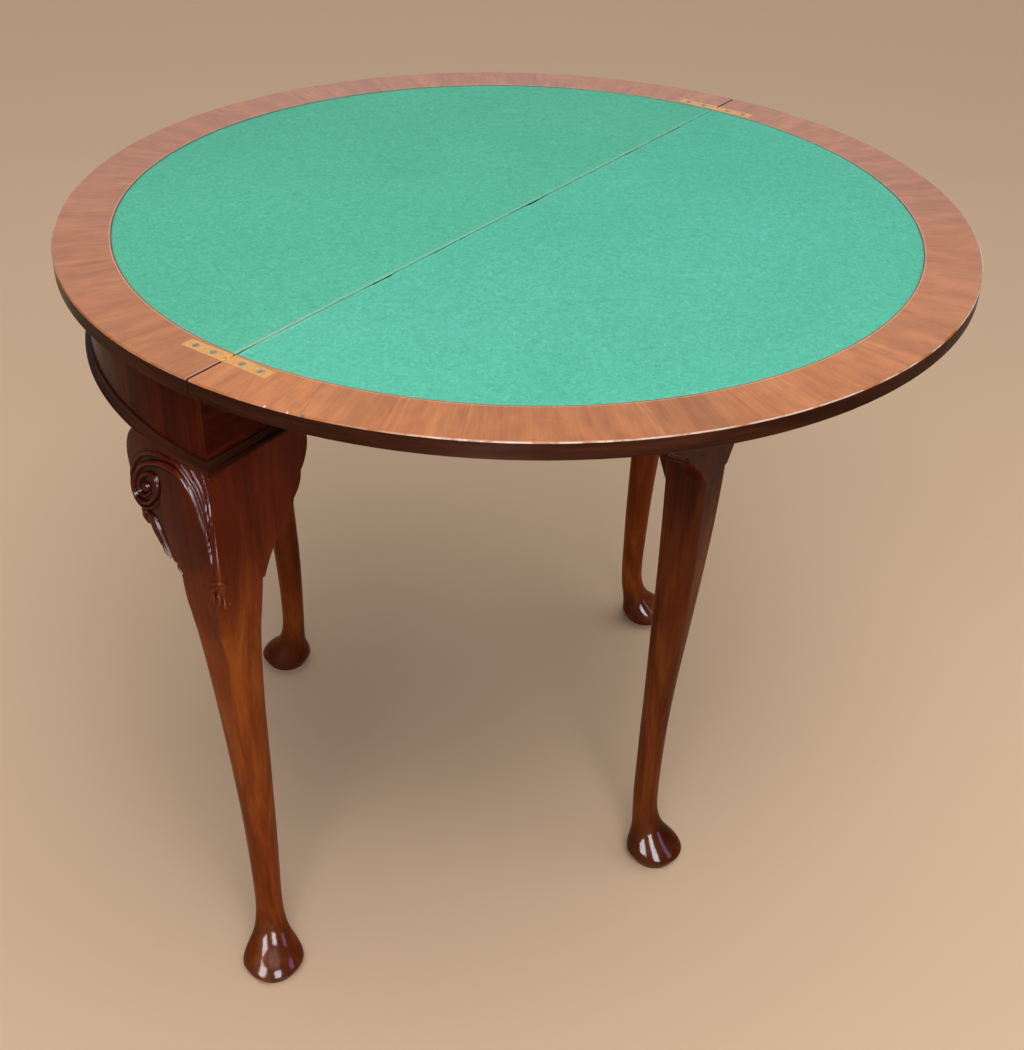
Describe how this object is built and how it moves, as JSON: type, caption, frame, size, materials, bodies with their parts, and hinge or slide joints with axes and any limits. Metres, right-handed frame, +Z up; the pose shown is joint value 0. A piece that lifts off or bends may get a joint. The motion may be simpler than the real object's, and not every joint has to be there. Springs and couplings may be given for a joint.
{
  "type": "demi lune card table",
  "caption": "Half-round card table shown open: hinged round top with baize panels, curved frieze, slender cabriole legs and a pull-out leg that carries the opened leaf.",
  "frame": {"origin": "on the floor, straight under the centre of the round top", "axes": "+X along the fold towards the near end, -Y towards the curved front, +Y towards the opened flap, +Z up"},
  "size_m": [0.864, 0.864, 0.745],
  "materials": {
    "mahogany": "polished",
    "leaf_wood": "polished",
    "border_veneer": "polished crossbanded veneer",
    "frieze_veneer": "polished veneer",
    "hidden_wood": "unpolished",
    "baize": "woollen baize",
    "hinge_brass": "dull, worn",
    "screw_brass": "dull",
    "screw_steel": "plain"
  },
  "bodies": {
    "table_frame": {"bed_core": "leaf_wood", "bed_crossband": "border_veneer", "bed_baize": "baize", "bed_hinge_plate_near": "hinge_brass", "bed_hinge_plate_far": "hinge_brass", "bed_hinge_screws": "screw_brass", "frieze_ground_near": "hidden_wood", "frieze_ground_far": "hidden_wood", "frieze_veneer_near": "frieze_veneer", "frieze_veneer_far": "frieze_veneer", "front_moulding_near": "mahogany", "front_moulding_far": "mahogany", "back_rail_near": "mahogany", "back_rail_far": "mahogany", "back_moulding_near": "mahogany", "back_moulding_far": "mahogany", "corner_leg_near": "mahogany", "corner_leg_far": "mahogany", "front_leg": "mahogany", "corner_front_ear_near": "mahogany", "corner_front_ear_far": "mahogany", "corner_back_ear_near": "mahogany", "corner_back_ear_far": "mahogany", "front_leg_ear_near": "mahogany", "front_leg_ear_far": "mahogany", "runner_near": "hidden_wood", "runner_far": "hidden_wood", "bridge_rail": "hidden_wood", "top_blocks": "hidden_wood", "top_screws": "screw_steel"},
    "hinge_links": {"hinge_link_near": "hinge_brass", "hinge_link_far": "hinge_brass", "hinge_pins": "screw_brass"},
    "flap": {"flap_core": "leaf_wood", "flap_crossband": "border_veneer", "flap_baize": "baize", "flap_hinge_plate_near": "hinge_brass", "flap_hinge_plate_far": "hinge_brass", "flap_hinge_screws": "screw_brass"},
    "gate": {"gate_leg": "mahogany", "gate_ear_near": "mahogany", "gate_ear_far": "mahogany", "gate_bracket": "mahogany", "gate_frieze": "mahogany", "gate_moulding": "mahogany", "gate_loper_near": "hidden_wood", "gate_loper_far": "hidden_wood", "gate_tie": "hidden_wood", "gate_stretcher": "hidden_wood"}
  },
  "joints": [
    {"name": "link_turn", "type": "hinge", "parent": "table_frame", "child": "hinge_links", "pos_m": [0, -0.002, 0.74315], "axis": [1, 0, 0], "range_deg": [0, 90]},
    {"name": "flap_turn", "type": "hinge", "parent": "hinge_links", "child": "flap", "pos_m": [0, 0.002, 0.74315], "axis": [1, 0, 0], "range_deg": [0, 90]},
    {"name": "gate_slide", "type": "slide", "parent": "table_frame", "child": "gate", "axis": [0, 1, 0], "range_m": [-0.249, 0]}
  ]
}
